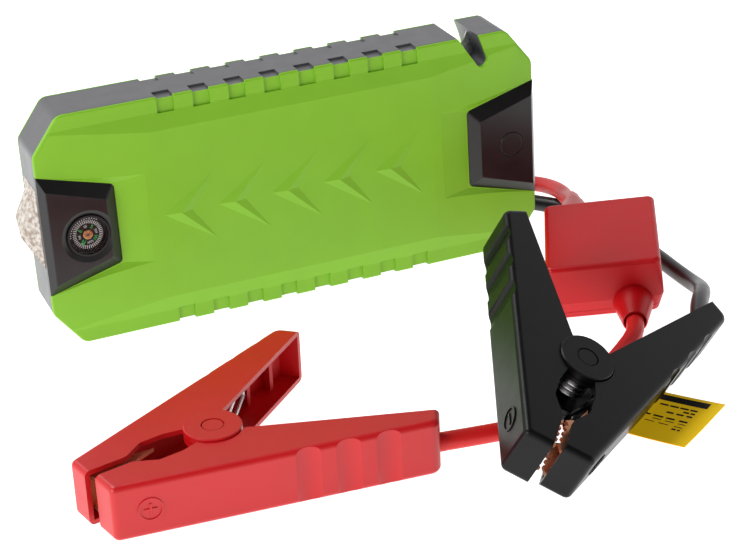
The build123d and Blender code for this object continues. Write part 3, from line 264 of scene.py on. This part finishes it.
def plastic(name, base, roughness, specular=0.4, grain_share=1.0):
    """Moulded plastic: fine grain, and a slow drift in tone and gloss."""
    material = principled(name, base, roughness, Specular_IOR_Level=specular)
    dim = tuple(channel * SHADE for channel in base[:3]) + (1.0,)
    mottled(material, dim, base, DRIFT_SCALE)
    handled(material, DRIFT_SCALE * 2, roughness, PLASTIC_GLOSS)
    return grain(material, GRAIN_SCALE, GRAIN_DEPTH * grain_share)


def metal(name, base, roughness, depth=METAL_GRAIN_DEPTH, scale=METAL_GRAIN_SCALE, metallic=1.0):
    material = principled(name, base, roughness, metallic)
    handled(material, METAL_DRIFT_SCALE, roughness, METAL_GLOSS)
    return grain(material, scale, depth)


def tag_film():
    material = plastic("tag_film", colour(255, 214, 20), 0.34, 0.4, 0.3)
    shader = material.node_tree.nodes["Principled BSDF"]
    # painted glow: the film gives off a faint yellow light of its own, standing in for table light let
    # through it
    shader.inputs["Emission Color"].default_value = colour(255, 206, 20)
    shader.inputs["Emission Strength"].default_value = TAG_PAINTED_GLOW
    return material


def breaker_metal():
    """Rough, light coating on the glass breaker."""
    light, dark = colour(208, 202, 194), colour(148, 131, 116)
    material = grain(principled("breaker_metal", light, BREAKER_ROUGHNESS), *BREAKER_GRAIN)
    return mottled(material, light, dark, BREAKER_MOTTLE_SCALE)


# A plastic's line: colour, roughness, specular level and share of the grain.
# A metal's line: colour, roughness, depth and scale of the grain, and metallic level.
GREEN = plastic("green_plastic", colour(128, 188, 34), 0.42)
GREY = plastic("grey_plastic", colour(84, 84, 88), 0.36, 0.6)
PLATE = plastic("plate_plastic", colour(18, 15, 17), 0.30, 0.45, 0.6)
DARK = plastic("dark_plastic", colour(13, 13, 14), 0.42)
RED = plastic("red_plastic", colour(203, 6, 16), 0.38, 0.6)
BOX_RED = plastic("box_plastic", colour(196, 0, 12), 0.38, 0.35)
BLACK = plastic("black_plastic", colour(9, 9, 11), 0.32, 0.22, 1.3)
CABLE_RED = plastic("red_jacket", colour(222, 30, 30), 0.42, 0.4, 0.5)
CABLE_BLACK = plastic("black_jacket", colour(20, 20, 21), 0.36, 0.5, 0.5)
SLEEVE = plastic("shrink_sleeve", colour(8, 8, 9), 0.17, 0.5, 0.3)
COPPER = metal("copper_plate", colour(244, 172, 132), 0.30, 0.02 * MM, 1500.0, 0.6)
STEEL = metal("spring_wire", colour(205, 205, 208), 0.22)
DULL_STEEL = metal("dull_steel", colour(110, 110, 112), 0.4)
BRASS = metal("brass", colour(206, 170, 120), 0.25)
BLUE = plastic("socket_plastic", colour(20, 70, 170), 0.4)
GLASS = principled("compass_glass_look", colour(12, 12, 13), 0.05, Alpha=0.12)
MIRROR = principled("reflector_look", colour(235, 235, 235), 0.08, 1.0)
LED = mottled(principled("led_look", colour(235, 205, 70), 0.5),
              colour(225, 190, 50), colour(240, 215, 90), LED_SCALE)
BOARD = mottled(principled("board_look", colour(20, 92, 52), 0.4),
                colour(18, 84, 48), colour(24, 104, 60), BOARD_SCALE)
FOIL = metal("foil_look", colour(190, 190, 195), 0.35, 0.1 * MM, 180.0)
RUBBER = plastic("rubber_look", colour(30, 30, 31), 0.6)
TAG = tag_film()
PRINT = plastic("print_black", colour(25, 25, 25), 0.5)
WHITE_PRINT = principled("print_white", colour(240, 240, 240), 0.5)
GREEN_PRINT = principled("print_green", colour(60, 225, 110), 0.5)
BREAKER = breaker_metal()

LOOKS = {
    "front_cover": GREEN, "back_cover": GREEN, "mid_frame": GREY, "cover_screws": DULL_STEEL,
    "compass_plate": PLATE, "button_plate": PLATE, "power_button": PLATE, "button_switch": DARK,
    "compass_case": DARK, "compass_pivot": DULL_STEEL, "compass_dial": DARK, "compass_cap": BRASS,
    "compass_glass": GLASS, "glass_breaker": BREAKER, "cutter_blade": STEEL, "port_panel": DARK,
    "jump_socket": BLUE, "socket_contacts": BRASS, "usb_sockets": DULL_STEEL, "dc_socket": DARK,
    "port_cover": RUBBER, "battery_cells": FOIL, "circuit_board": BOARD, "board_components": DARK,
    "power_straps": COPPER, "torch_reflector": MIRROR, "torch_led": LED, "torch_lens": GLASS,
    "box_lid": BOX_RED, "box_base": BOX_RED, "box_board": BOARD, "box_front_gland": BOX_RED,
    "box_back_gland": BOX_RED, "jump_plug": BLUE, "plug_contacts": BRASS, "warning_tag": TAG,
    "red_cable_in": CABLE_RED, "red_cable_out": CABLE_RED, "black_cable": CABLE_BLACK,
}
CLAMP_LOOKS = {
    "red": {"fixed_arm": RED, "moving_arm": RED, "pivot_pin": RED, "lead_end": CABLE_RED},
    "black": {"fixed_arm": BLACK, "moving_arm": BLACK, "pivot_pin": BLACK, "lead_end": SLEEVE},
}
CLAMP_METAL = {"fixed_jaw": COPPER, "moving_jaw": COPPER, "spring": STEEL, "spring_leg": STEEL}


def paint(node, material):
    data = nodes[node].data
    data.materials.clear()
    data.materials.append(material)


def paint_all():
    for node, material in LOOKS.items():
        paint(node, material)
    for prefix, looks in CLAMP_LOOKS.items():
        for name, material in {**looks, **CLAMP_METAL}.items():
            paint(prefix + "_clamp_" + name, material)


# ---- camera, floor and light --------------------------------------------------------------------
def link(name, data):
    """New object in the scene that shows the given data."""
    placed = bpy.data.objects.new(name, data)
    bpy.context.scene.collection.objects.link(placed)
    return placed


def set_camera():
    forward = (CAMERA_AIM - CAMERA_AT).normalized()
    level = forward.cross(Vector((0, 0, 1))).normalized()
    upward = level.cross(forward)
    right = level * math.cos(CAMERA_ROLL) + upward * math.sin(CAMERA_ROLL)
    up = upward * math.cos(CAMERA_ROLL) - level * math.sin(CAMERA_ROLL)
    turn = Matrix((right, up, -forward)).transposed().to_4x4()
    data = bpy.data.cameras.new("camera")
    data.lens = CAMERA_LENS
    data.sensor_width = SENSOR
    data.clip_start = CAMERA_NEAR
    camera = link("camera", data)
    camera.matrix_world = Matrix.Translation(CAMERA_AT) @ turn
    bpy.context.scene.camera = camera


def set_sky():
    """Studio sky whose light changes with height and from the camera's side to the far side."""
    world = bpy.data.worlds.new("studio")
    world.use_nodes = True
    tree = world.node_tree
    backdrop = tree.nodes["Background"]
    backdrop.inputs["Color"].default_value = WHITE
    where = tree.nodes.new("ShaderNodeTexCoord")
    split = tree.nodes.new("ShaderNodeSeparateXYZ")
    tree.links.new(where.outputs["Generated"], split.inputs["Vector"])
    product = tree.nodes.new("ShaderNodeMath")
    product.operation = "MULTIPLY"
    tree.links.new(map_range(tree, split.outputs["Z"], SKY_HEIGHT, HEIGHT_LIGHT), product.inputs[0])
    tree.links.new(map_range(tree, split.outputs["Y"], SKY_DEPTH, DEPTH_LIGHT), product.inputs[1])
    tree.links.new(product.outputs["Value"], backdrop.inputs["Strength"])
    bpy.context.scene.world = world


def area_light(name, place, aim, size, power):
    data = bpy.data.lights.new(name, "AREA")
    data.size = size
    data.energy = power
    lamp = link(name, data)
    lamp.location = place
    lamp.rotation_euler = (Vector(aim) - Vector(place)).to_track_quat("-Z", "Y").to_euler()


def set_light():
    bpy.context.scene.view_settings.view_transform = "Standard"
    set_sky()
    for softbox in SOFTBOXES:
        area_light(*softbox)


def lay_floor():
    half = FLOOR_SIZE / 2
    corners = [(-half, -half, 0), (half, -half, 0), (half, half, 0), (-half, half, 0)]
    mesh = bpy.data.meshes.new("floor")
    mesh.from_pydata(corners, [], [(0, 1, 2, 3)])
    mesh.materials.append(principled("floor_white", FLOOR_TONE, FLOOR_ROUGHNESS,
                                     Emission_Color=WHITE, Emission_Strength=FLOOR_GLOW))
    link("floor", mesh)


# ---- cords and wires ----------------------------------------------------------------------------
def round_curve(name, kind, points, radius, rounding, material):
    """Round cord or wire along the given points, and its spline."""
    data = bpy.data.curves.new(name, "CURVE")
    data.dimensions = "3D"
    data.bevel_depth = radius
    data.bevel_resolution = rounding
    data.resolution_u = CURVE_STEPS
    data.use_fill_caps = True
    spline = data.splines.new(kind)
    spline.points.add(len(points) - 1)
    for point, place in zip(spline.points, points):
        point.co = (*place, 1.0)
    data.materials.append(material)
    return link(name, data), spline


def lay_cord(name, node, route, material):
    cord, spline = round_curve(name, "NURBS", route, CABLE_DIAMETER / 2, CABLE_ROUNDING, material)
    spline.order_u = 3
    spline.use_endpoint_u = True
    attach(cord, ROOT)
    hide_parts(node)


def lay_cords():
    lay_cord("red_lead_in", "red_cable_in", RED_IN_ROUTE, CABLE_RED)
    lay_cord("red_lead_out", "red_cable_out", RED_OUT_ROUTE, CABLE_RED)
    lay_cord("black_lead", "black_cable", BLACK_ROUTE, CABLE_BLACK)


def clamp_place(pivot, heading, roll, pitch):
    """Placement of a clamp: its pivot in mm, and its turns in degrees about its own Z, X and Y axes."""
    turn = Matrix.Rotation(math.radians(heading), 4, "Z") @ Matrix.Rotation(math.radians(roll), 4, "X")
    return Matrix.Translation(Vector(pivot) * MM) @ turn @ Matrix.Rotation(math.radians(pitch), 4, "Y")


CLAMPS = {                   # pivot and turns as in the part
    "red": clamp_place((-71.3, -124.35, 10.9), 13.6, 2.0, 0.0),
    "black": clamp_place((37.84, -148.78, 20.25), 57.18, 29.34, -11.12),
}


def wind_spring(prefix):
    """Torsion spring round a clamp's pin, with the leg that rests in the fixed handle."""
    base = -(COIL_TURNS - 1) / 2 * COIL_PITCH
    leg_end = Vector((*LEG_END, base))
    points = [leg_end, leg_end * LEG_TIP]
    for i in range(COIL_STEPS * (COIL_TURNS - 1) + COIL_LAST_STEPS + 1):
        turn = COIL_START - 2 * math.pi * i / COIL_STEPS
        rise = base + COIL_PITCH * i / COIL_STEPS
        points.append(Vector((COIL_RADIUS * math.cos(turn), COIL_RADIUS * math.sin(turn), rise)))
    placed = [CLAMPS[prefix] @ point for point in points]
    spring, spline = round_curve(prefix + "_spring_coil", "POLY", placed, WIRE_RADIUS, WIRE_ROUNDING, STEEL)
    spline.use_smooth = True
    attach(spring, ROOT)
    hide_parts(prefix + "_clamp_spring")


# ---- print on the compass -----------------------------------------------------------------------
def mesh_piece(name, points, faces, materials, body, smooth=False):
    mesh = bpy.data.meshes.new(name)
    mesh.from_pydata(points, [], faces)
    for material in materials:
        mesh.materials.append(material)
    for polygon in mesh.polygons:
        polygon.use_smooth = smooth
    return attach(link(name, mesh), body)


def dial_point(radius, angle, lift=0.0):
    """Point just above the compass card, with the angle anticlockwise from the right."""
    across, up = radius * math.cos(angle), radius * math.sin(angle)
    return Vector((DIAL_CENTRE.x + across, DIAL_CENTRE.y - PRINT_LIFT - lift, DIAL_CENTRE.z + up))


def dial_marks(name, marks, half_width, body, lift=0.0):
    """Small white bars on the dial, each from an inner to an outer radius at one angle."""
    points, faces = [], []
    for inner, outer, angle in marks:
        side = Vector((-math.sin(angle), 0.0, math.cos(angle))) * half_width
        low, high = dial_point(inner, angle, lift), dial_point(outer, angle, lift)
        first = len(points)
        points += [low - side, high - side, high + side, low + side]
        faces.append((first, first + 1, first + 2, first + 3))
    mesh_piece(name, points, faces, [WHITE_PRINT], body)


def dial_letter(text, angle, size, material):
    data = bpy.data.curves.new("letter_" + text, "FONT")
    data.body = text
    data.size = size
    data.align_x = "CENTER"
    data.align_y = "CENTER"
    data.extrude = LETTER_DEPTH
    data.materials.append(material)
    letter = link("dial_letter_" + text, data)
    upright = Matrix.Rotation(math.pi / 2, 4, "X")
    turn = Matrix.Rotation(math.pi / 2 - angle, 4, "Y")
    letter.matrix_world = Matrix.Translation(dial_point(LETTER_RADIUS, angle)) @ turn @ upright
    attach(letter, CARD)


def print_letters():
    for i, (main, half) in enumerate(QUARTERS):
        angle = NORTH_ANGLE - i * math.pi / 2
        dial_letter(main, angle, MAIN_LETTER, GREEN_PRINT)
        dial_letter(half, angle - math.pi / 4, HALF_LETTER, WHITE_PRINT)


def print_dial():
    ticks = [(TICK_INNER, TICK_OUTER, 2 * math.pi * i / TICK_COUNT) for i in range(TICK_COUNT)]
    dial_marks("dial_ticks", ticks, TICK_HALF_WIDTH, CARD)
    print_letters()
    arrow = [dial_point(ARROW_FOOT, NORTH_ANGLE + turn) for turn in (-ARROW_SPREAD, ARROW_SPREAD)]
    arrow.append(dial_point(ARROW_TIP, NORTH_ANGLE))
    mesh_piece("dial_arrow", arrow, [(0, 1, 2)], [GREEN_PRINT], CARD)
    middle = [dial_point(CAP_MIDDLE, 2 * math.pi * i / CAP_SIDES, CAP_TOP) for i in range(CAP_SIDES)]
    mesh_piece("cap_middle", middle, [tuple(range(CAP_SIDES))], [DULL_STEEL], CARD)
    inner, outer = DOT_RADIUS - DOT_HALF_LENGTH, DOT_RADIUS + DOT_HALF_LENGTH
    dots = [(inner, outer, math.radians(DOT_START - i * DOT_STEP)) for i in range(DOT_COUNT)]
    dial_marks("bezel_dots", dots, DOT_HALF_WIDTH, ROOT, BEZEL_LIFT)


# ---- label --------------------------------------------------------------------------------------
def tag_profile():
    """Label's run from its lower end, round the cord and back along the top: (along, height, on top)."""
    steps = round((TAG_REACH - TAG_LOW_START) / TAG_STEP)
    run = [(TAG_REACH - i * TAG_STEP, TAG_LOW_HEIGHT, False) for i in range(steps + 1)]
    for i in range(TAG_FOLD_POINTS):
        turn = math.radians(TAG_FOLD_START + i * TAG_FOLD_STEP)
        run.append((TAG_FOLD_RADIUS * math.cos(turn), TAG_AT.z + TAG_FOLD_RADIUS * math.sin(turn), False))
    fall_start, top = run[-1][:2]
    fall = TAG_FALL_END - fall_start
    steps = round(fall / TAG_STEP)
    for i in range(1, steps):
        share = i / steps
        ease = share * share * (3 - 2 * share)
        run.append((fall_start + fall * share, top + (TAG_TOP_HEIGHT - top) * ease, True))
    steps = round((TAG_REACH - TAG_FALL_END) / TAG_STEP)
    run += [(TAG_FALL_END + i * TAG_STEP, TAG_TOP_HEIGHT, True) for i in range(steps + 1)]
    return run


def tag_lift(along, across):
    """Slight lift of the label's free end and of one corner."""
    share = max(0.0, along / TAG_REACH - TAG_LIFT_START)
    corner = max(0.0, across / TAG_WIDTH - TAG_CORNER_START)
    return TAG_END_LIFT * share * share + TAG_CORNER_LIFT * share * corner


def printed(along, across):
    """Whether the label's print covers a place: a heading bar and rows of short bars."""
    from_end = TAG_REACH / MM - along / MM
    for i, (middle, height, start, stop, words) in enumerate(TAG_ROWS):
        if abs(across / MM - middle) < height / 2 and start < from_end < stop:
            place = (from_end - start) / (stop - start) * words
            return words == 1 or place % 1 < WORD_SHARE - WORD_SHRINK * i
    return False


def tag_points(run, offsets):
    """Label's points, row by row along its run."""
    points = []
    for along, height, _ in run:
        share = max(0.0, along / TAG_REACH)
        across = (TAG_ACROSS_ROOT * (1 - share) + TAG_ACROSS_END * share).normalized()
        middle = Vector((TAG_AT.x, TAG_AT.y, 0.0)) + TAG_ALONG.normalized() * along
        for offset in offsets:
            place = middle + across * offset
            points.append((place.x, place.y, height + tag_lift(along, offset)))
    return points


def lay_tag():
    run = tag_profile()
    columns = round(TAG_WIDTH / TAG_STEP) + 1
    offsets = [-TAG_WIDTH / 2 + j * TAG_STEP for j in range(columns)]
    corners = [i * columns + j for i in range(len(run) - 1) for j in range(columns - 1)]
    faces = [(corner, corner + 1, corner + columns + 1, corner + columns) for corner in corners]
    tag = mesh_piece("warning_label", tag_points(run, offsets), faces, [TAG, PRINT], ROOT, smooth=True)
    for polygon, corner in zip(tag.data.polygons, corners):
        along, _, on_top = run[corner // columns]
        if on_top and printed(along, offsets[corner % columns] + TAG_STEP / 2):
            polygon.material_index = 1
    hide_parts("warning_tag")


set_camera()
lay_cords()
lay_floor()
set_light()
paint_all()
print_dial()
lay_tag()
for clamp in CLAMPS:
    wind_spring(clamp)
